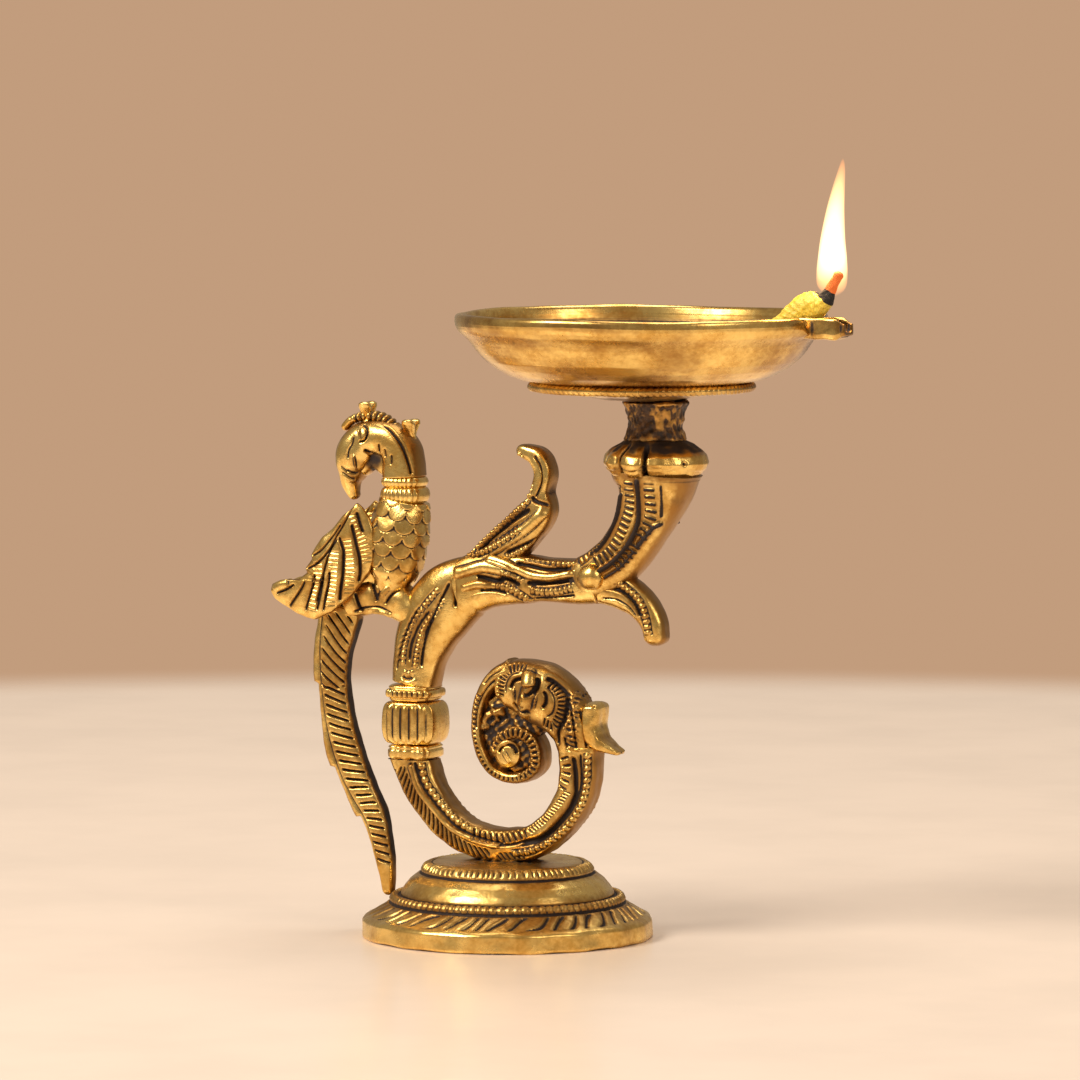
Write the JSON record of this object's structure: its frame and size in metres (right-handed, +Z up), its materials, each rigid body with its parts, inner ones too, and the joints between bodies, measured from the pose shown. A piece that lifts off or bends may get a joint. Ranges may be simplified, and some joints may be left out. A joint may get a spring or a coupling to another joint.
{
  "type": "figural brass oil lamp",
  "caption": "Brass oil lamp: a round stepped foot, a curled-trunk beast scroll, a peacock and a leafy branch that carries a shallow oil dish with a wick spout.",
  "frame": {"origin": "middle of the whole lamp's footprint, on the surface it stands on", "axes": "+X from the peacock towards the wick spout, +Y through the figure from its near face to its far face, +Z up"},
  "size_m": [0.155, 0.0928, 0.1687],
  "materials": {
    "cast_brass": "cast, chased and hand polished, with dark patina in the cuts",
    "foot_brass": "turned and chased, polished on the high bands",
    "dish_brass": "spun and polished, lightly tarnished",
    "dark_brass": "rough and dark with oil and soot",
    "steel": "zinc plated",
    "wick_cotton": "oiled cotton, charred at the lit end"
  },
  "bodies": {
    "stand": {"base_foot": "foot_brass", "base_bolt": "steel", "base_washer": "steel", "scroll_strap": "cast_brass", "yali_head": "cast_brass", "yali_trunk": "cast_brass", "trunk_eye": "cast_brass", "coil_web": "cast_brass", "yali_ear_fin": "cast_brass", "collar_lower_ring": "cast_brass", "collar_fluted_band": "cast_brass", "collar_upper_ring": "cast_brass", "upper_stem": "cast_brass", "branch_arm": "cast_brass", "upper_leaf": "cast_brass", "bud_stem": "cast_brass", "lower_leaf": "cast_brass", "branch_berry_near": "cast_brass", "branch_berry_far": "cast_brass", "bud_cup": "cast_brass", "socket_neck": "dark_brass", "peacock_breast": "cast_brass", "peacock_rump": "cast_brass", "peacock_perch": "cast_brass", "tail_plume": "cast_brass", "wing_near": "cast_brass", "wing_far": "cast_brass", "neck_ring_lower": "cast_brass", "neck_ring_upper": "cast_brass", "peacock_head": "cast_brass", "crest_ridge": "cast_brass", "crest_knob_front_near": "cast_brass", "crest_knob_front_far": "cast_brass", "crest_knob_rear_near": "cast_brass", "crest_knob_rear_far": "cast_brass"},
    "dish_stud": {"dish_stud": "dark_brass"},
    "dish": {"dish_foot": "dish_brass", "dish_bowl": "dish_brass", "dish_spout": "dish_brass"},
    "wick": {"wick": "wick_cotton"}
  },
  "joints": [
    {"name": "dish_lift", "type": "slide", "parent": "stand", "child": "dish_stud", "axis": [0, 0, 1], "range_m": [0, 0.0056]},
    {"name": "dish_turn", "type": "hinge", "parent": "dish_stud", "child": "dish", "pos_m": [0.0263, 0, 0.136], "axis": [0, 0, 1], "range_deg": [0, 1980]},
    {"name": "wick_feed", "type": "slide", "parent": "dish", "child": "wick", "axis": [0.9578, 0, 0.2873], "range_m": [-0.004, 0.008]}
  ],
  "couplings": [
    {"joint": "dish_lift", "follows": "dish_turn", "m_per_rad": 0.00015915}
  ]
}
